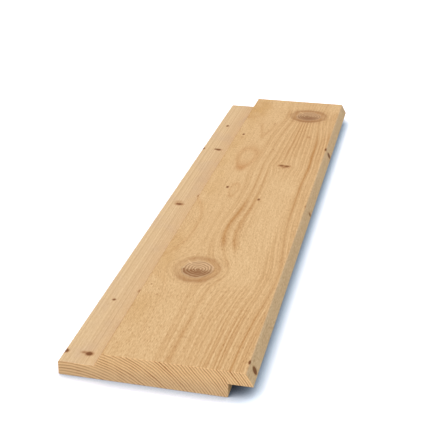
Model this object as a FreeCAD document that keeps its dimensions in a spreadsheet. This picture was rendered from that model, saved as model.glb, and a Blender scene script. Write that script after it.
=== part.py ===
"""Planed softwood board with a V-jointed half-lap along each long edge.

The board lies on its back face, as it lies on a floor: X runs across it from the lower lap to the
upper lap, Y along the grain and Z from the back face up to the visible face. The origin is the
middle of the back's overall rectangle.

Every length is in millimetres and every angle in degrees.
"""

import FreeCAD, Part

import math
import os

import Sketcher

# Driving sizes: alias, value, what it measures.
SIZES = (
    ("board_length", 600.0, "end to end, along the grain"),
    ("board_width", 145.0, "over both laps"),
    ("board_thickness", 22.0, "back face to visible face"),
    ("lower_lap_width", 28.0, "edge of the lower lap to the foot of its bevel"),
    ("lower_lap_thickness", 11.0, "back face to the top of the lower lap"),
    ("upper_lap_width", 18.0, "shoulder to the edge of the upper lap"),
    ("lap_clearance", 0.3, "air between an upper lap and the lower lap it covers"),
    ("lap_nose", 0.6, "height of the blunt edge of the upper lap"),
    ("bevel_angle", 28.0, "lean of both bevels from square to the face"),
    ("face_arris", 0.8, "radius on the two long edges of the visible face"),
    ("back_arris", 1.0, "radius on the two long edges of the back face"),
    ("lap_arris", 0.8, "radius on the top edge of the lower lap"),
    ("nose_arris", 0.25, "radius on both edges of the upper lap's nose"),
)

# Corners of the section in the order they are drawn, counter-clockwise from the back face.
CORNERS = (
    "back_left",
    "back_right",
    "shoulder_root",
    "nose_bottom",
    "nose_top",
    "face_right",
    "face_left",
    "bevel_foot",
    "lower_lap_edge",
)

# The nose's rounding takes at most this share of its land.
LARGEST_NOSE_SHARE = 0.6

PARALLEL_TOLERANCE = 1e-6
POSITION_TOLERANCE = 1e-3


def make_sizes(doc):
    """Puts the driving sizes in a spreadsheet, one row each, and returns it."""
    sheet = doc.addObject("Spreadsheet::Sheet", "Sizes")
    for row, (alias, value, meaning) in enumerate(SIZES, start=1):
        sheet.set(f"A{row}", alias)
        sheet.set(f"B{row}", str(value))
        sheet.set(f"C{row}", meaning)
        sheet.setAlias(f"B{row}", alias)
    doc.recompute()
    return sheet


def origin_plane(body, role):
    """One of the body's own origin planes, found by its role."""
    for feature in body.Origin.OriginFeatures:
        if feature.Role == role:
            return feature
    raise RuntimeError(f"{body.Label} has no {role}")


def section_corners(size):
    """Each corner of the section as (x, z), worked out from the sheet's values."""
    half_width = size.board_width / 2
    lap_top = size.lower_lap_thickness
    lap_underside = lap_top + size.lap_clearance
    nose_top = lap_underside + size.lap_nose
    lean = math.tan(math.radians(size.bevel_angle))
    shoulder = half_width - size.upper_lap_width
    bevel_foot = -half_width + size.lower_lap_width
    return {
        "back_left": (-half_width, 0.0),
        "back_right": (shoulder, 0.0),
        "shoulder_root": (shoulder, lap_underside),
        "nose_bottom": (half_width, lap_underside),
        "nose_top": (half_width, nose_top),
        "face_right": (half_width - (size.board_thickness - nose_top) * lean, size.board_thickness),
        "face_left": (bevel_foot + (size.board_thickness - lap_top) * lean, size.board_thickness),
        "bevel_foot": (bevel_foot, lap_top),
        "lower_lap_edge": (-half_width, lap_top),
    }


def draw_section(body, size):
    """The board's section as a closed, fully constrained sketch across the grain."""
    sketch = body.newObject("Sketcher::SketchObject", "Section")
    sketch.AttachmentSupport = [(origin_plane(body, "XZ_Plane"), "")]
    sketch.MapMode = "FlatFace"

    place = section_corners(size)
    points = [FreeCAD.Vector(*place[name], 0) for name in CORNERS]
    count = len(points)
    for start, end in zip(points, points[1:] + points[:1]):
        sketch.addGeometry(Part.LineSegment(start, end), False)
    for line in range(count):
        sketch.addConstraint(Sketcher.Constraint("Coincident", line, 2, (line + 1) % count, 1))

    # Line number n starts at corner number n.
    corner = {name: number for number, name in enumerate(CORNERS)}
    for name in ("back_left", "shoulder_root", "face_right", "bevel_foot"):
        sketch.addConstraint(Sketcher.Constraint("Horizontal", corner[name]))
    for name in ("back_right", "nose_bottom", "lower_lap_edge"):
        sketch.addConstraint(Sketcher.Constraint("Vertical", corner[name]))

    def drive(kind, name, expression, *where):
        """Adds a named dimension, at its present value, and ties it to the sheet."""
        number = sketch.addConstraint(Sketcher.Constraint(kind, *where))
        sketch.renameConstraint(number, name)
        sketch.setExpression(f"Constraints.{name}", expression)

    def across(name, expression, first, second):
        gap = place[second][0] - place[first][0]
        drive("DistanceX", name, expression, corner[first], 1, corner[second], 1, gap)

    def up(name, expression, first, second):
        gap = place[second][1] - place[first][1]
        drive("DistanceY", name, expression, corner[first], 1, corner[second], 1, gap)

    def lean(name, expression, first, degrees):
        drive("Angle", name, expression, corner[first], math.radians(degrees))

    # The back lies on the sketch's own X axis, and the width is shared evenly about its origin.
    sketch_origin = (-1, 1)
    sketch_x_axis = -1
    sketch.addConstraint(Sketcher.Constraint("PointOnObject", corner["back_left"], 1, sketch_x_axis))
    drive("DistanceX", "half_width", "Sizes.board_width / 2",
          corner["back_left"], 1, *sketch_origin, size.board_width / 2)
    across("width", "Sizes.board_width", "back_left", "nose_bottom")
    up("thickness", "Sizes.board_thickness", "back_left", "face_left")
    across("lower_lap_width", "Sizes.lower_lap_width", "lower_lap_edge", "bevel_foot")
    up("lower_lap_thickness", "Sizes.lower_lap_thickness", "back_left", "lower_lap_edge")
    across("upper_lap_width", "Sizes.upper_lap_width", "shoulder_root", "nose_bottom")
    up("upper_lap_underside", "Sizes.lower_lap_thickness + Sizes.lap_clearance",
       "back_right", "shoulder_root")
    up("nose", "Sizes.lap_nose", "nose_bottom", "nose_top")
    lean("upper_bevel", "90 + Sizes.bevel_angle", "nose_top", 90 + size.bevel_angle)
    lean("lower_bevel", "-90 - Sizes.bevel_angle", "face_left", -90 - size.bevel_angle)
    return sketch


def long_edges(shape, spots):
    """The names of the edges that run along the grain through the given (x, z) spots."""
    names = []
    for x, z in spots:
        for number, edge in enumerate(shape.Edges, start=1):
            start, end = (vertex.Point for vertex in edge.Vertexes)
            along = (end - start).normalize()
            offset = math.hypot(start.x - x, start.z - z)
            if abs(abs(along.y) - 1) < PARALLEL_TOLERANCE and offset < POSITION_TOLERANCE:
                names.append(f"Edge{number}")
    if len(names) != len(spots):
        raise RuntimeError(f"found {len(names)} long edges at {len(spots)} corners")
    return names


def round_arrises(body, base, size, name, radius, corners):
    """Eases the long edges at the named corners by a radius worked out from the sheet."""
    place = section_corners(size)
    fillet = body.newObject("PartDesign::Fillet", name)
    fillet.Base = (base, long_edges(base.Shape, [place[corner] for corner in corners]))
    fillet.setExpression("Radius", radius)
    body.Document.recompute()
    if not fillet.Shape.Volume < base.Shape.Volume:
        raise RuntimeError(f"{name} took nothing off the board")
    return fillet


def make_board(doc, size):
    """The board: its section drawn once, run out along the grain, and its arrises eased."""
    body = doc.addObject("PartDesign::Body", "Board")
    body.Label = "board"
    section = draw_section(body, size)

    plank = body.newObject("PartDesign::Pad", "Plank")
    plank.Profile = section
    plank.SideType = "Symmetric"
    plank.setExpression("Length", "Sizes.board_length")
    doc.recompute()

    # The nose's rounding is limited by the land that it sits on.
    nose_radius = f"min(Sizes.nose_arris, {LARGEST_NOSE_SHARE} * Sizes.lap_nose)"
    arrises = (
        ("FaceArrises", "Sizes.face_arris", ("face_left", "face_right")),
        ("BackArrises", "Sizes.back_arris", ("back_left", "back_right")),
        ("LapArris", "Sizes.lap_arris", ("lower_lap_edge",)),
        ("NoseArrises", nose_radius, ("nose_bottom", "nose_top")),
    )
    eased = plank
    for name, radius, corners in arrises:
        eased = round_arrises(body, eased, size, name, radius, corners)
    body.Tip = eased
    return body


def check(doc, pieces):
    """Stops the build if any object failed to recompute or any piece isn't a sound solid."""
    for item in doc.Objects:
        if "Invalid" in item.State or "Error" in item.State:
            raise RuntimeError(f"{item.Label} did not recompute: {item.State}")
    for piece in pieces:
        if piece.Shape.isNull() or not piece.Shape.isValid() or len(piece.Shape.Solids) != 1:
            raise RuntimeError(f"{piece.Label} is not one sound solid")


def main():
    doc = FreeCAD.newDocument("LapBoard")
    size = make_sizes(doc)
    pieces = [make_board(doc, size)]
    doc.recompute()
    check(doc, pieces)
    os.makedirs("parts", exist_ok=True)
    for piece in pieces:
        piece.Shape.exportStep(f"parts/{piece.Label}.step")
        box = piece.Shape.BoundBox
        print(f"{piece.Label}: {box.XLength:.3f} x {box.YLength:.3f} x {box.ZLength:.3f} mm, "
              f"{piece.Shape.Volume / 1000:.2f} cm3, {len(piece.Shape.Faces)} faces")


main()
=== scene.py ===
import math
import bmesh
import bpy
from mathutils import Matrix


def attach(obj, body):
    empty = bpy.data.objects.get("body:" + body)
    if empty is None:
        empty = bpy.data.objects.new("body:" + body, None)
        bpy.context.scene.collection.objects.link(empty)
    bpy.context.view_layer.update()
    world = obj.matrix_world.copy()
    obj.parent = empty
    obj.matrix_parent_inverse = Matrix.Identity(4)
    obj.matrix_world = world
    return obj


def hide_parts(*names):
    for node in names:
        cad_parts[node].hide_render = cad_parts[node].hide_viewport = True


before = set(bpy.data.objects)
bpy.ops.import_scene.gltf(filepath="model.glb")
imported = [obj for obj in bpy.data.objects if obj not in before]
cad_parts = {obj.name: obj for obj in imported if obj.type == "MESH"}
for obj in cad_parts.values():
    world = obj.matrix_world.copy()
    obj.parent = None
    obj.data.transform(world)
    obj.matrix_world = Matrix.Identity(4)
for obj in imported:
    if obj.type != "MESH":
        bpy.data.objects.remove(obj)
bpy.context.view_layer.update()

mm = 0.001
print("frame loaded")


# colours, and sums in shaders

black = (0.0, 0.0, 0.0, 1.0)
white = (1.0, 1.0, 1.0, 1.0)


def linear(red, green, blue):
    # a colour read off a screen, 0 to 255, as the light values that a shader takes
    def one(value):
        value /= 255
        return value / 12.92 if value <= 0.04045 else ((value + 0.055) / 1.055) ** 2.4
    return one(red), one(green), one(blue), 1.0


class Wire:
    # A node's socket that can be written in sums: a + b, 1 - a, a * b, a / b.
    def __init__(self, tree, socket=None):
        self.tree = tree
        self.socket = socket

    def node(self, kind, settings=(), inputs=(), output=0):
        # Adds any node: its settings first, then the values or wires of its sockets.
        made = self.tree.nodes.new(kind)
        for name, value in dict(settings).items():
            if name == "stops":
                stops = made.color_ramp.elements
                while len(stops) > 1:
                    stops.remove(stops[-1])
                for number, (position, colour) in enumerate(value):
                    stop = stops[0] if number == 0 else stops.new(position)
                    stop.position = position
                    stop.color = colour
            else:
                setattr(made, name, value)
        for name, value in dict(inputs).items():
            if isinstance(value, Wire):
                self.tree.links.new(value.socket, made.inputs[name])
            else:
                made.inputs[name].default_value = value
        return Wire(self.tree, made.outputs[output] if len(made.outputs) else None)

    def math(self, operation, *others):
        return self.node("ShaderNodeMath", {"operation": operation}, dict(enumerate((self, *others))))

    def __add__(self, other):
        return self.math("ADD", other)

    def __sub__(self, other):
        return self.math("SUBTRACT", other)

    def __rsub__(self, other):
        return self.math("MULTIPLY_ADD", -1.0, other)

    def __mul__(self, other):
        return self.math("MULTIPLY", other)

    def __truediv__(self, other):
        return self.math("DIVIDE", other)

    def __rtruediv__(self, other):
        return self.math("POWER", -1.0) * other

    def __neg__(self):
        return self.math("MULTIPLY", -1.0)

    __radd__ = __add__
    __rmul__ = __mul__

    def step(self, start, end, low=0.0, high=1.0):
        # A soft step from low at start to high at end.
        return self.node("ShaderNodeMapRange", {"interpolation_type": "SMOOTHSTEP"},
                         {0: self, 1: start, 2: end, 3: low, 4: high})

    def fade(self):
        # 1 at zero, and less the more there is.
        return (-self).math("EXPONENT")

    def bell(self, middle, width):
        # 1 at the middle, fading to nothing over about twice the width.
        away = (self - middle) / width
        return (away * away).fade()

    def split(self):
        # The three parts of a vector.
        return [self.node("ShaderNodeSeparateXYZ", inputs={0: self}, output=axis) for axis in range(3)]


def distance(aside, ahead):
    return (aside * aside + ahead * ahead).math("SQRT")


def tint(below, above, amount, blend="MIX"):
    # Mixes two colours by an amount, or lays the second on the first.
    wire = next(value for value in (amount, below, above) if isinstance(value, Wire))
    return wire.node("ShaderNodeMix", {"data_type": "RGBA", "blend_type": blend, "clamp_factor": True},
                     {0: amount, 6: below, 7: above}, output=2)


def noise(vector, sizes, seed, detail=2.0, rough=0.5):
    # Soft noise about 0.5 whose blots have these sizes in mm.
    scaled = vector.node("ShaderNodeVectorMath", {"operation": "MULTIPLY_ADD"},
                         {0: vector, 1: [1 / size for size in sizes], 2: (seed, seed * 1.7, seed * 0.6)})
    return vector.node("ShaderNodeTexNoise", inputs={"Vector": scaled, "Scale": 1.0, "Detail": detail,
                                                     "Roughness": rough})


def newMaterial(name):
    material = bpy.data.materials.new(name)
    material.use_nodes = True
    material.node_tree.nodes.clear()
    return material, Wire(material.node_tree)


# camera, light and floor

studio = {
    "cameraPlace": (171.68, -841.59, 400.78),         # mm; the other lengths are in metres
    "cameraTurn": (65.13, 0.034, 13.355),
    "lens": 80.965,
    "sensor": 36.0,
    "sight": (0.01, 200.0),                 # how near and how far the camera sees
    # soft light: its colour from above, and what comes on top of it from the right and from the front
    "above": (0.35, 0.39, 0.45),
    "right": (0.10, 0.31, 0.42),
    "front": (1.80, 1.70, 1.68),
    # sines at which it is whole: straight up, off the horizon, and to the right or the front
    "whole": (0.6, 0.4, 0.5),
    # lamp: the way its light travels, what it adds to a surface square to it, and how wide it looks
    "key": ((0.40, -0.30, -1.0), (0.12, 0.05, 0.02), 14.0),
    "floorSize": 60.0,
    "floorColour": 0.25,                    # what the floor gives back to the board
    "floorSeen": 1.5,                       # what the camera sees of it, past white in the open
    "contactReach": 0.02,                   # how far the shade under the board reaches over the floor
    "contactSamples": 8,
    "contactDepth": (1.62, 1.47, 1.27),     # how deep that shade is in red, green and blue
    "litSide": (-0.068, -0.075),            # where it ends, at the side that the light comes from
}


def placeCamera():
    bpy.ops.object.camera_add(location=[value * mm for value in studio["cameraPlace"]],
                              rotation=[math.radians(value) for value in studio["cameraTurn"]])
    camera = bpy.context.object
    camera.name = "camera"
    camera.data.lens = studio["lens"]
    camera.data.sensor_width = studio["sensor"]
    camera.data.clip_start, camera.data.clip_end = studio["sight"]
    bpy.context.scene.camera = camera
    bpy.context.scene.view_settings.view_transform = "Standard"


def seenPlainly(start):
    # 1 for the camera, and for what it sees mirrored or through glass
    plain, mirrored, through = (start.node("ShaderNodeLightPath", output=f"Is {kind} Ray")
                                for kind in ("Camera", "Glossy", "Transmission"))
    return plain.math("MAXIMUM", mirrored).math("MAXIMUM", through)


def buildSky():
    world = bpy.data.worlds.new("studio sky")
    world.use_nodes = True
    world.node_tree.nodes.clear()
    start = Wire(world.node_tree)
    east, north, up = start.node("ShaderNodeTexCoord", output="Generated").split()
    wholeUp, wholeOff, wholeSide = studio["whole"]
    offHorizon = up.step(0.0, wholeOff)
    sky = tint(black, (*studio["above"], 1.0), up.step(0.0, wholeUp))
    for name, way in (("right", east), ("front", -north)):
        glow = tint(black, (*studio[name], 1.0), way.step(0.0, wholeSide) * offHorizon)
        sky = tint(sky, glow, 1.0, "ADD")
    colour = tint(sky, white, seenPlainly(start))
    background = start.node("ShaderNodeBackground", inputs={"Color": colour, "Strength": 1.0})
    start.node("ShaderNodeOutputWorld", inputs={"Surface": background})
    bpy.context.scene.world = world


def hangLamp():
    (east, north, up), colour, width = studio["key"]
    bpy.ops.object.light_add(type="SUN", location=(-east, -north, 1.0))
    lamp = bpy.context.object
    lamp.name = "key light"
    lamp.data.energy = math.pi * max(colour)
    lamp.data.color = [value / max(colour) for value in colour]
    lamp.data.angle = math.radians(width)
    lamp.rotation_euler = (math.atan2(math.hypot(east, north), -up), 0.0, math.atan2(-east, north))


def layFloor():
    bpy.ops.mesh.primitive_plane_add(size=studio["floorSize"], location=(0, 0, 0))
    floor = bpy.context.object
    floor.name = "floor"
    material, start = newMaterial("white floor")
    clear = start.node("ShaderNodeAmbientOcclusion", {"samples": studio["contactSamples"]},
                       {"Distance": studio["contactReach"]}, output="AO")
    east = start.node("ShaderNodeTexCoord", output="Object").split()[0]
    clear = clear.math("MAXIMUM", east.step(*studio["litSide"]))
    seen = seenPlainly(start)
    given = studio["floorColour"]
    levels = [seen * (clear.math("POWER", depth) * studio["floorSeen"] - given) + given
              for depth in studio["contactDepth"]]
    colour = start.node("ShaderNodeCombineColor", inputs=dict(enumerate(levels)))
    surface = start.node("ShaderNodeBsdfDiffuse", inputs={"Color": colour})
    start.node("ShaderNodeOutputMaterial", inputs={"Surface": surface})
    floor.data.materials.append(material)


placeCamera()
buildSky()
hangLamp()
layFloor()
print("camera, light and floor made")


# the board, in mm

# where three knots meet the visible face, across and along
nearKnot = (-2.8, -159.8)
farKnot = (33.0, 246.8)
looseKnot = (30.2, 82.0)

board = {
    "length": 600.0,
    "thickness": 22.0,
    "left": -72.5,            # edge of the lower lap
    "right": 72.5,            # edge of the upper lap
    "lowerLap": 28.0,
    "lowerLapTop": 11.0,
    "upperLap": 18.0,
    "upperLapUnderside": 11.3,
    "nose": 0.6,
    "bevel": 28.0,            # degrees from upright
    # radii of the long edges, and the steps that round them
    "faceArris": 0.8,
    "backArris": 1.0,
    "lapArris": 0.8,
    "arrisSteps": 4,
    "noseArris": 0.25,
    "noseSteps": 2,
    "endEase": 0.2,           # what is taken off the sawn edges at both ends
    "endSteps": 2,
    "cellAcross": 2.4,        # size of the mesh's cells, for the relief round the knots
    "cellAlong": 4.0,
    "cellsUp": 9,
    # where the face dips a little, how far each dip reaches and how deep it is
    "dips": ((nearKnot, 20.0, 0.10), (farKnot, 20.0, 0.12), (looseKnot, 7.0, 0.08)),
    "dipMiddle": 3.0,         # radius that goes down whole
    "smoothUnder": 20.0,      # degrees under which two faces are shaded as one
}

half = board["length"] / 2
lean = math.tan(math.radians(board["bevel"]))
foot = board["left"] + board["lowerLap"]
shoulder = board["right"] - board["upperLap"]
noseTop = board["upperLapUnderside"] + board["nose"]
leftSlope = (board["thickness"] - board["lowerLapTop"]) * lean      # how far the bevels lean back
rightSlope = (board["thickness"] - noseTop) * lean

touch = 0.02                  # a point this near a place is on it
weld = 0.002                  # points this near each other become one
roundingError = 0.0001


def choose(kind, test):
    # Selects, in edit mode, only the items of one kind whose middle, in mm, passes the test.
    bpy.ops.mesh.select_mode(type=kind)
    bpy.ops.mesh.select_all(action="DESELECT")
    mesh = bmesh.from_edit_mesh(bpy.context.edit_object.data)
    items = {"VERT": mesh.verts, "EDGE": mesh.edges, "FACE": mesh.faces}[kind]
    for item in items:
        if kind == "VERT":
            middle = item.co
        elif kind == "EDGE":
            middle = (item.verts[0].co + item.verts[1].co) / 2
        else:
            middle = item.calc_center_median()
        if test(middle / mm, item):
            item.select_set(True)
    mesh.select_flush_mode()
    bmesh.update_edit_mesh(bpy.context.edit_object.data)


def cut(place, normal):
    bpy.ops.mesh.select_all(action="SELECT")
    bpy.ops.mesh.bisect(plane_co=[value * mm for value in place], plane_no=normal)


def pushAcross(way):
    bpy.ops.transform.translate(value=(way * mm, 0, 0))


def drawOutAcross(way):
    bpy.ops.mesh.extrude_region_move(TRANSFORM_OT_translate={"value": (way * mm, 0, 0)})


def runsAlong(edge):
    return abs(edge.verts[0].co.y - edge.verts[1].co.y) > half * mm


def shapeSection():
    thick, lapTop, underside = board["thickness"], board["lowerLapTop"], board["upperLapUnderside"]
    # lower lap: its height is cut in, the bevel leans back above it and the lap is drawn out below it
    cut((0, 0, lapTop), (0, 0, 1))
    choose("VERT", lambda at, _: at.x < foot + touch and at.z > thick - touch)
    pushAcross(leftSlope)
    choose("FACE", lambda at, _: at.x < foot + touch and at.z < lapTop)
    drawOutAcross(-board["lowerLap"])
    # upper lap: drawn out above its underside, then leant back above its blunt nose
    cut((0, 0, underside), (0, 0, 1))
    choose("FACE", lambda at, _: at.x > shoulder - touch and at.z > underside)
    drawOutAcross(board["upperLap"])
    cut((0, 0, noseTop), (0, 0, 1))
    choose("VERT", lambda at, _: at.x > board["right"] - touch and at.z > thick - touch)
    pushAcross(-rightSlope)


def easeEdges():
    # the long edges as in the solid; each radius is turned into the width that the rounding takes
    left, right, thick = board["left"], board["right"], board["thickness"]
    openCorner = math.tan(math.radians((90 + board["bevel"]) / 2))      # of half the corner at the face
    arrises = (
        (board["faceArris"] / openCorner, board["arrisSteps"],
         ((foot + leftSlope, thick), (right - rightSlope, thick))),
        (board["backArris"], board["arrisSteps"], ((left, 0.0), (shoulder, 0.0))),
        (board["lapArris"], board["arrisSteps"], ((left, board["lowerLapTop"]),)),
        (board["noseArris"], board["noseSteps"], ((right, board["upperLapUnderside"]),)),
    )
    for setback, steps, spots in arrises:
        def onSpot(at, edge):
            return runsAlong(edge) and any(math.hypot(at.x - x, at.z - z) < touch for x, z in spots)
        choose("EDGE", onSpot)
        bpy.ops.mesh.bevel(offset_type="OFFSET", offset=setback * mm, segments=steps, affect="EDGES")

    # the saw's edge at both ends is broken a little
    def onEndRim(_, edge):
        flat = all(abs(abs(corner.co.y) / mm - half) < touch for corner in edge.verts)
        return flat and any(abs(face.normal.y) < 0.5 for face in edge.link_faces)
    choose("EDGE", onEndRim)
    bpy.ops.mesh.bevel(offset_type="OFFSET", offset=board["endEase"] * mm, segments=board["endSteps"],
                       affect="EDGES")
    # nothing may stand past the nose
    choose("VERT", lambda at, _: at.x > right + roundingError)
    bpy.ops.transform.resize(value=(0, 1, 1), center_override=(right * mm, 0, 0))


def cutCells():
    left, right, thick = board["left"], board["right"], board["thickness"]
    cellsAcross = int((right - left) / board["cellAcross"])
    for number in range(1, cellsAcross):
        cut((left + (right - left) * number / cellsAcross, 0, 0), (1, 0, 0))
    for number in range(1, board["cellsUp"]):
        cut((0, 0, thick * number / board["cellsUp"]), (0, 0, 1))
    choose("EDGE", lambda _, edge: runsAlong(edge))
    bpy.ops.mesh.subdivide(number_cuts=int(board["length"] / board["cellAlong"]) - 1)
    bpy.ops.mesh.select_all(action="SELECT")
    bpy.ops.mesh.remove_doubles(threshold=weld * mm)


def dipFace():
    for (x, y), reach, depth in board["dips"]:
        def inMiddle(at, _):
            onFace = at.z > board["thickness"] - touch
            return onFace and math.hypot(at.x - x, at.y - y) < board["dipMiddle"]
        choose("VERT", inMiddle)
        bpy.ops.transform.translate(value=(0, 0, -depth * mm), use_proportional_edit=True,
                                    proportional_edit_falloff="SMOOTH", proportional_size=reach * mm)


def modelBoard():
    bpy.ops.object.select_all(action="DESELECT")
    middle = ((foot + shoulder) / 2 * mm, 0, board["thickness"] / 2 * mm)
    size = ((shoulder - foot) * mm, board["length"] * mm, board["thickness"] * mm)
    bpy.ops.mesh.primitive_cube_add(size=1, location=middle, scale=size)
    piece = bpy.context.object
    piece.name = "planed_board"
    bpy.ops.object.transform_apply(location=True, rotation=True, scale=True)
    bpy.ops.object.mode_set(mode="EDIT")
    shapeSection()
    easeEdges()
    print("section shaped and its edges eased")
    cutCells()
    dipFace()
    bpy.ops.mesh.normals_make_consistent(inside=False)
    bpy.ops.object.mode_set(mode="OBJECT")
    bpy.ops.object.shade_smooth_by_angle(angle=math.radians(board["smoothUnder"]))
    print("board modelled:", len(piece.data.polygons), "faces")
    return piece


# the timber: places in mm, colours as read off a screen

timber = {
    "pith": (-65.0, -66.0),           # where the tree's middle ran, across and up, outside the board
    "rings": (0.30, 0.000825),        # rings per mm near the pith, and how much closer they get outwards
    "ringReach": (60.0, 165.0),       # from the pith, just past the board's nearest and farthest wood
    "early": linear(220, 182, 131),
    "late": linear(182, 127, 68),
    "figure": linear(194, 140, 86),
    "endEarly": linear(242, 200, 144),
    "endLate": linear(152, 86, 34),
    "endPaintedShade": (0.82, 0.84, 0.91, 1.0),        # painted shade: what is left of the ends' colour at the bottom, darker and bluer where the floor shades them
    "honey": linear(206, 163, 106),
    "side": linear(214, 172, 130),            # the bevel at the right
    "lap": linear(224, 193, 147),
    "lapStripe": linear(206, 168, 124),
    "lapPatch": linear(208, 176, 142),
    "split": linear(232, 196, 148),
    "pinHalo": linear(178, 120, 68),
    "pinCore": linear(110, 62, 28),
    "roughness": 0.72,
    "shine": 0.12,
    "poreDepth": 0.0002,                      # metres
    "poreStrength": 0.2,
    # how far in from an edge, or from which place to which, the colours of a surface fade in
    "lapFade": 0.9,
    "endFade": (0.3, 0.1),
    "topFade": (1.5, 0.5),
    "sideFade": (65.8, 67.6),
    # where the strong rings meet the visible face, from and to, and how dark each is
    "strongRings": ((-8.5, -8.5, 0.25), (1.0, 1.0, 0.62), (9.8, 11.0, 0.50), (17.2, 17.2, 0.50),
                    (22.5, 22.5, 0.55), (28.0, 28.0, 0.65), (32.5, 32.5, 0.6), (37.0, 37.0, 0.65),
                    (42.0, 42.0, 0.6), (47.0, 47.0, 0.6), (50.8, 50.8, 0.5), (53.3, 55.9, 0.50),
                    (59.6, 59.6, 0.6), (62.8, 62.8, 0.6), (66.2, 66.2, 0.55)),
    # how the grain wanders: size of the waves, seed, detail and strength
    "waves": (((70, 330, 70), 3.1, 1.0, 2.4), ((9, 70, 9), 8.4, 2.0, 1.6)),
    "bow": 4.4,                       # how far it bows out to the right of the near knot
    # where the grain parts: middle, push, how much less it reaches along, and how blunt it is
    "partings": (((-3.1, -159.0), 400.0, 1.69, 350.0), ((30.0, 82.0), 34.0, 1.0, 12.0)),
    # where it is drawn in: middle, pull, and how far across and along
    "gatherings": (((32.5, 247.0), 0.6, 28.0, 60.0), ((-12.0, -80.0), 0.72, 21.0, 46.0),
                   ((-13.0, 68.0), 0.35, 12.0, 40.0)),
    # broad streaks in the grain: place, width, depth, and between which places along each fades in
    "streaks": ((10.4, 2.7, 0.46, ((2.0, -40.0), (-126.0, -98.0))),
                (17.2, 1.3, 0.42, ((30.0, -30.0), (-130.0, -106.0))),
                (-8.5, 1.3, 0.22, ((-15.0, -45.0), (-125.0, -95.0))),
                (9.4, 2.4, 0.18, ((-225.0, -260.0),)),
                (54.6, 2.3, 0.30, ((190.0, 120.0), (-70.0, -10.0)))),
    # closed figures: middle, half width, half length, how pear-shaped, softness, depth, and where
    # along the board one that isn't whole fades in
    "figures": (((-13.6, 97.0), 8.8, 29.5, 0.075, 0.31, 0.44, ()),
                ((-8.4, 10.0), 4.0, 16.0, 0.03, 0.26, 0.42, ()),
                ((-8.5, 207.0), 7.6, 43.0, 0.11, 0.26, 0.42, (222.0, 200.0)),
                ((-13.0, -240.0), 9.0, 32.0, 0.10, 0.16, 0.16, (-235.0, -255.0)),
                ((-44.0, -80.0), 20.0, 62.0, 0.0, 0.08, 0.34, ()),
                ((-38.0, -216.0), 20.0, 42.0, 0.0, 0.07, 0.18, (-238.0, -205.0)),
                ((-39.0, 244.0), 16.0, 17.0, 0.0, 0.24, 0.30, ()),
                ((-44.0, 271.0), 24.0, 16.0, 0.0, 0.24, 0.25, ())),
}

# the big knots: reach is where the brown halo ends, core is the share of it that is the knot itself, filled
# is how solid the halo is, and spread is how wide the dark part of the core is
bigKnots = (
    {"middle": nearKnot, "reach": (20.6, 23.0), "core": 0.66, "halo": linear(168, 118, 72),
     "depth": 0.54, "filled": 0.10, "pale": linear(222, 186, 142), "ring": linear(150, 104, 64),
     "dark": linear(142, 96, 58), "spread": 1.4},
    {"middle": farKnot, "reach": (22.4, 22.6), "core": 0.66, "halo": linear(166, 118, 74),
     "depth": 0.58, "filled": 0.45, "pale": linear(206, 168, 126), "ring": linear(150, 108, 70),
     "dark": linear(138, 94, 58), "spread": 0.62},
)

# small knots: middle across, along and up; half their size each way; how dark
pinKnots = (
    (-31.0, 168.0, 22.0, 1.5, 2.6, 6.0, 0.72), (-38.8, 184.0, 21.0, 1.3, 2.4, 3.0, 0.5),
    (-16.0, 15.0, 22.0, 1.3, 2.5, 6.0, 0.85), (20.2, -8.2, 22.0, 1.4, 2.8, 6.0, 0.68),
    (-33.0, -193.0, 22.0, 0.9, 1.4, 3.0, 0.5), (-24.0, -208.0, 22.0, 0.9, 1.4, 3.0, 0.45),
    (43.0, 175.0, 22.0, 2.2, 4.0, 5.0, 0.4), (-2.0, 211.0, 22.0, 1.0, 2.4, 4.0, 0.45),
    (-31.0, 158.0, 22.0, 1.6, 4.5, 3.0, 0.3), (27.4, 83.4, 22.0, 4.2, 3.4, 8.0, 0.58),
    (33.0, 82.6, 22.0, 4.2, 3.8, 8.0, 0.60), (30.4, 79.0, 22.0, 3.4, 3.8, 8.0, 0.46),
    (-61.5, 221.0, 11.0, 1.7, 2.8, 4.0, 0.8), (-53.9, 141.3, 11.0, 3.0, 3.0, 5.0, 0.72),
    (-57.0, 142.3, 11.0, 2.8, 2.2, 4.0, 0.7), (-72.6, 141.6, 10.0, 2.6, 3.4, 3.0, 0.9),
    (-58.7, -12.6, 11.0, 4.6, 3.4, 5.0, 0.64), (-60.5, -8.5, 11.0, 4.6, 5.0, 4.0, 0.35),
    (-72.6, -12.5, 10.0, 1.4, 3.4, 3.0, 0.5), (-61.0, -206.0, 11.0, 1.7, 1.9, 4.0, 0.68),
    (-53.4, -285.5, 11.0, 3.3, 3.0, 5.0, 0.72), (-57.4, -284.6, 11.0, 3.2, 2.0, 4.0, 0.5),
    (-72.4, -285.4, 10.5, 3.0, 2.8, 3.0, 0.9), (-45.2, 11.0, 12.0, 1.4, 3.6, 3.0, 0.5),
    (-45.2, -188.0, 12.0, 1.4, 3.0, 3.0, 0.5), (70.6, 140.0, 15.4, 2.6, 4.4, 3.6, 0.9),
    (66.7, 141.0, 22.0, 1.3, 4.2, 1.3, 0.8), (71.2, -14.0, 14.0, 2.0, 3.4, 3.0, 0.6),
    (66.7, -14.0, 22.0, 1.1, 3.4, 1.1, 0.45), (70.4, -285.5, 15.4, 2.4, 3.1, 3.4, 0.95),
    (66.8, -285.5, 22.0, 1.0, 2.6, 1.0, 0.85),
)


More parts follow.
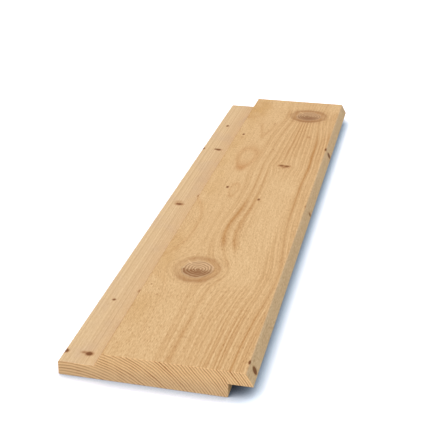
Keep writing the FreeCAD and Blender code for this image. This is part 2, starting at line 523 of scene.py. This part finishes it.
class Point:
    # A point of the board: wires of where it is, in mm, and the masks that its colours share.
    def __init__(self, start):
        self.place = start.node("ShaderNodeVectorMath", {"operation": "SCALE"},
                                {0: start.node("ShaderNodeTexCoord", output="Object"), "Scale": 1 / mm})
        self.across, self.along, self.up = self.place.split()
        self.high = self.up - timber["pith"][1]
        # 1 on the visible face, less below it
        self.share = self.high / (board["thickness"] - timber["pith"][1])
        self.onLap = self.across.step(foot + timber["lapFade"], foot - timber["lapFade"])
        self.onSide = self.across.step(*timber["sideFade"])
        self.onEnd = self.along.math("ABSOLUTE").step(*[half - inwards for inwards in timber["endFade"]])
        top = self.up.step(*[board["thickness"] - inwards for inwards in timber["topFade"]])
        self.onTop = top * (1 - self.onLap)
        self.bendGrain()

    def fromKnot(self, middle):
        # How far it is across and along from a knot, which runs out from the pith.
        pithAcross = timber["pith"][0]
        return self.across - (self.share * (middle[0] - pithAcross) + pithAcross), self.along - middle[1]

    def bendGrain(self):
        # Flow says which line of the grain it is on, and grain is its place with the grain made straight.
        bow = self.along.bell(-158.0, 78.0) * self.across.step(0.0, 45.0)      # beside the near knot
        shift = bow * timber["bow"]
        for sizes, seed, detail, strength in timber["waves"]:
            shift = shift + (noise(self.place, sizes, seed, detail) - 0.5) * strength
        for middle, push, shorter, blunt in timber["partings"]:
            aside, ahead = self.fromKnot(middle)
            shift = shift + aside * push / (aside * aside + ahead * ahead * shorter + blunt)
        for middle, pull, wide, long in timber["gatherings"]:
            aside, ahead = self.fromKnot(middle)
            shift = shift - aside * pull * (aside * aside / wide ** 2 + ahead * ahead / long ** 2).fade()
        self.flow = self.across - shift
        self.grain = self.flow.node("ShaderNodeCombineXYZ",
                                    inputs={0: self.flow, 1: self.along, 2: self.up})


def ringAt(across):
    # distance from the pith of the ring that meets the visible face at this place
    return math.hypot(across - timber["pith"][0], board["thickness"] - timber["pith"][1])


def ringStops(innermost, outermost):
    # a ramp over the rings, dark at the strong ones and clear halfway between them
    stops = []

    def put(at, depth):
        stops.append(((at - innermost) / (outermost - innermost), (depth, depth, depth, 1.0)))

    before = innermost
    for nearSide, farSide, depth in timber["strongRings"]:
        put((before + ringAt(nearSide)) / 2 if stops else innermost, 0.0)
        put(ringAt(nearSide), depth)
        if farSide > nearSide:
            put(ringAt(farSide), depth)
        before = ringAt(farSide)
    return stops


def drawRings(point):
    # the late wood, a chance of its own for each ring, and the strong rings
    radius = distance(point.flow - timber["pith"][0], point.high)
    radius = radius + (noise(point.place, (13, 90, 13), 5.2, 1.5) - 0.5) * 2.0
    fewest, closing = timber["rings"]
    ring = radius * (radius * closing + fewest)
    part = ring.math("FRACT")
    late = part.step(0.25, 0.85) * part.step(1.0, 0.9)
    chance = ring.node("ShaderNodeTexWhiteNoise", {"noise_dimensions": "1D"}, {"W": ring.math("FLOOR")})
    innermost, outermost = timber["ringReach"]
    strong = radius.node("ShaderNodeValToRGB", {"stops": ringStops(innermost, outermost)},
                         {0: (radius - innermost) / (outermost - innermost)})
    strong = strong.math("POWER", 1.25) * (noise(point.grain, (16, 110, 16), 12.7, 1.0) * 1.6 + 0.15)
    return late, chance, strong


def drawLines(point, late, chance, strong):
    across, along, flow = point.across, point.along, point.flow
    # the lines are faint at the left, in the middle and at the far right corner, bold below the far knot
    # and at the near end
    right = across.step(-36.0, 26.0)
    faint = across.step(19.0, 25.0) * across.step(51.5, 47.0)
    faint = faint * along.step(-205.0, -160.0) * along.step(72.0, 30.0)
    bold = across.step(4.0, 12.0) * along.step(60.0, 165.0)
    near = across.step(20.0, 46.0) * along.step(-190.0, -235.0)
    corner = across.step(52.0, 60.0) * along.step(170.0, 210.0)
    corner = corner + across.step(-10.0, 10.0) * along.step(258.0, 274.0)
    lines = late * (chance * (near * 0.22 + 0.34) + near * 0.14 + 0.07) * (1 - strong)
    lines = lines + strong * (bold * 0.50 + near * 0.24 + 0.68)
    lines = lines * (right * 0.72 + 0.28) * (1 - faint * 0.72)
    lines = lines * (1 - point.onSide * 0.6) * (1 - corner * 0.5)
    for place, width, depth, fades in timber["streaks"]:
        streak = flow.bell(place, width) * depth
        for start, end in fades:
            streak = streak * along.step(start, end)
        lines = lines + streak
    pair = flow.bell(10.4, 1.2) + flow.bell(17.0, 1.1)
    lines = lines + pair * along.bell(48.0, 48.0) * 0.24
    return lines * (1 - point.onLap * 0.8)


def drawFigures(point):
    # closed shapes on the face, where the rings only just meet it
    across, along = point.across, point.along
    smudges = across.bell(-42.0, 8.0) * (along.bell(231.0, 8.0) + along.bell(264.0, 8.0)) * 0.36
    tip = across.bell(-13.6, 6.2) * along.step(54.0, 68.0) * along.step(110.0, 74.0) * 0.38
    figures = smudges + tip
    for (x, y), wide, tall, pear, soft, depth, fade in timber["figures"]:
        ahead = along - y
        outline = distance((across - x) / (ahead * pear + wide), ahead / tall).bell(1.0, soft) * depth
        if fade:
            outline = outline * along.step(*fade)
        figures = figures + outline
    return figures * point.onTop


def paintFace(point, lines, stripes):
    # honey at the left, paler and pinker on the lower lap
    across, along = point.across, point.along
    patch = noise(point.place, (22, 34, 30), 25.0)
    honey = across.step(-16.0, -32.0) * 0.5 + across.step(-6.0, -26.0) * along.step(205.0, 235.0) * 0.6
    face = tint(timber["early"], timber["late"], lines)
    face = tint(face, timber["figure"], drawFigures(point))
    face = tint(face, timber["honey"], honey * patch.step(0.30, 0.70) * point.onTop)
    face = tint(face, timber["side"], point.onSide * 0.5)
    lap = tint(timber["lap"], timber["lapStripe"], stripes.step(0.38, 0.66) * 0.62 + lines * 0.4)
    lap = tint(lap, timber["lapPatch"], patch.step(0.45, 0.75) * 0.5)
    return tint(face, lap, point.onLap)


def paintEnd(point, late, chance):
    ends = late * (chance * 0.45 + 0.50) * point.up.step(0.0, 15.0, 0.70, 0.95)
    ends = ends * (noise(point.place, (8, 8, 8), 14.0) * 1.1 + 0.4)
    end = tint(timber["endEarly"], timber["endLate"], ends)
    # painted shade: the ends grow darker and bluer towards the bottom, in place of the shade near the floor
    return tint(end, timber["endPaintedShade"], point.up.step(17.0, 2.0), "MULTIPLY")


def shadeGrain(point, fibre, fleck, stripes):
    # fibres and pores along the grain, as a grey to multiply by, a little warmer where it is darker, with a
    # painted highlight along the right arris of the face
    across, along = point.across, point.along
    blots = noise(point.grain, (26, 120, 26), 21.0)
    dashes = fleck.step(0.41, 0.27) * (1 - point.onLap * 0.7)
    # glow: two broad paler patches on the face, and a painted highlight along the right arris, where its
    # rounding catches the light
    glow = across.bell(34.0, 14.0) * along.bell(-105.0, 75.0) * 0.035 + across.bell(67.4, 0.9) * 0.08
    glow = glow + across.step(18.0, 38.0) * along.step(-190.0, -225.0) * 0.026
    level = (fibre - 0.5) * 0.52 + (fleck - 0.5) * 1.05 + (blots - 0.5) * 0.16 - dashes * 0.15 + glow + 0.015
    level = level * (1 - point.onEnd * 0.5 - point.onLap * 0.55) + 1 - (stripes - 0.5) * point.onLap * 0.26
    return level.node("ShaderNodeCombineColor", inputs={0: level.math("POWER", 0.65), 1: level,
                                                        2: level.math("POWER", 1.35)})


def addBigKnot(point, colour, knot, uneven, ragged):
    # a brown halo, fine rings in the core, its lower side dark, and a pale split
    aside, ahead = point.fromKnot(knot["middle"])
    wide, tall = knot["reach"]
    aside = aside / point.share / wide
    ahead = ahead / point.share / tall
    away = distance(aside, ahead) + uneven * 0.22
    steep = (ahead / (away + 0.05)).math("ABSOLUTE")       # 1 above and below the knot, 0 beside it
    core = knot["core"]
    rim = away.bell(0.90, 0.12) * 0.30 + away.step(core, core + 0.12) * 0.35 + 0.30
    halo = away.step(1.20, 0.84) * rim * (steep * 0.62 + 0.38) * (ahead.step(0.2, -0.9) * 0.35 + 1.0)
    halo = halo + away.step(1.10, 0.95) * knot["filled"]
    colour = tint(colour, knot["halo"], halo * knot["depth"])
    colour = tint(colour, knot["halo"], away.bell(1.22, 0.05) * 0.16)
    fine = ((away + ragged * 0.02) * 48.0).math("SINE") * 0.5 + 0.5
    inside = away.step(core + 0.05, core - 0.06)
    colour = tint(colour, tint(knot["pale"], knot["ring"], fine * 0.78), inside * 0.85)
    dark = (ahead + ragged).step(0.14, -0.20) * away.step(core + 0.10, core - 0.12)
    dark = dark * (ahead.step(-0.80, -0.20) * 0.45 + 0.42) * (fine * 0.35 + 0.8)
    colour = tint(colour, knot["dark"], dark * aside.bell(0.0, knot["spread"]))
    beside = aside * 0.75 + ahead * 0.66 + 0.02
    length = aside * 0.66 - ahead * 0.75
    split = (beside * beside * 1400.0).fade() * length.step(-0.88, -0.80) * length.step(-0.45, -0.55)
    return tint(colour, timber["split"], split * 0.8)


def addPinKnots(point, colour, ragged):
    spots = None
    for x, y, z, wide, tall, deep, depth in pinKnots:
        away = point.place.node("ShaderNodeVectorMath", {"operation": "SUBTRACT"},
                                {0: point.place, 1: (x, y, z)})
        away = away.node("ShaderNodeVectorMath", {"operation": "MULTIPLY"},
                         {0: away, 1: (1 / wide, 1 / tall, 1 / deep)})
        away = away.node("ShaderNodeVectorMath", {"operation": "LENGTH"}, {0: away}, output="Value")
        spot = away.step(1.8, 0.2, 0.0, depth)
        spots = spots.math("MAXIMUM", spot) if spots else spot
    spots = spots * (ragged * 0.5 + 1)
    colour = tint(colour, timber["pinHalo"], spots.step(0.05, 0.50) * 0.6)
    return tint(colour, timber["pinCore"], spots.step(0.36, 0.66) * 0.85)


def makeTimber():
    material, start = newMaterial("planed pine")
    point = Point(start)
    late, chance, strong = drawRings(point)
    lines = drawLines(point, late, chance, strong)
    stripes = noise(point.place, (1.1, 900, 1.1), 31.0, 3.0, 0.7)
    fibre = noise(point.grain, (0.7, 26, 0.7), 41.0, 2.0, 0.6)
    fleck = noise(point.grain, (0.5, 3.6, 0.5), 47.0, 2.0, 0.6)
    uneven = noise(point.place, (9, 9, 9), 52.0) - 0.5
    ragged = (noise(point.place, (1.8, 5.0, 1.8), 57.0, 3.0, 0.65) - 0.5) * 0.8

    colour = tint(paintFace(point, lines, stripes), paintEnd(point, late, chance), point.onEnd)
    colour = tint(colour, shadeGrain(point, fibre, fleck, stripes), 1.0, "MULTIPLY")
    for knot in bigKnots:
        colour = addBigKnot(point, colour, knot, uneven, ragged)
    colour = addPinKnots(point, colour, ragged)

    rough = timber["roughness"] - lines * 0.08 + (fibre - 0.5) * 0.15
    pores = start.node("ShaderNodeBump", inputs={"Strength": timber["poreStrength"],
                                                 "Distance": timber["poreDepth"],
                                                 "Height": fibre + fleck * 0.6})
    surface = start.node("ShaderNodeBsdfPrincipled", inputs={"Base Color": colour, "Roughness": rough,
                                                             "Specular IOR Level": timber["shine"],
                                                             "Normal": pores})
    start.node("ShaderNodeOutputMaterial", inputs={"Surface": surface})
    print("timber made:", len(material.node_tree.nodes), "nodes")
    return material


planedBoard = modelBoard()
planedBoard.data.materials.clear()
planedBoard.data.materials.append(makeTimber())
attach(planedBoard, "root")
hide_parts("board")
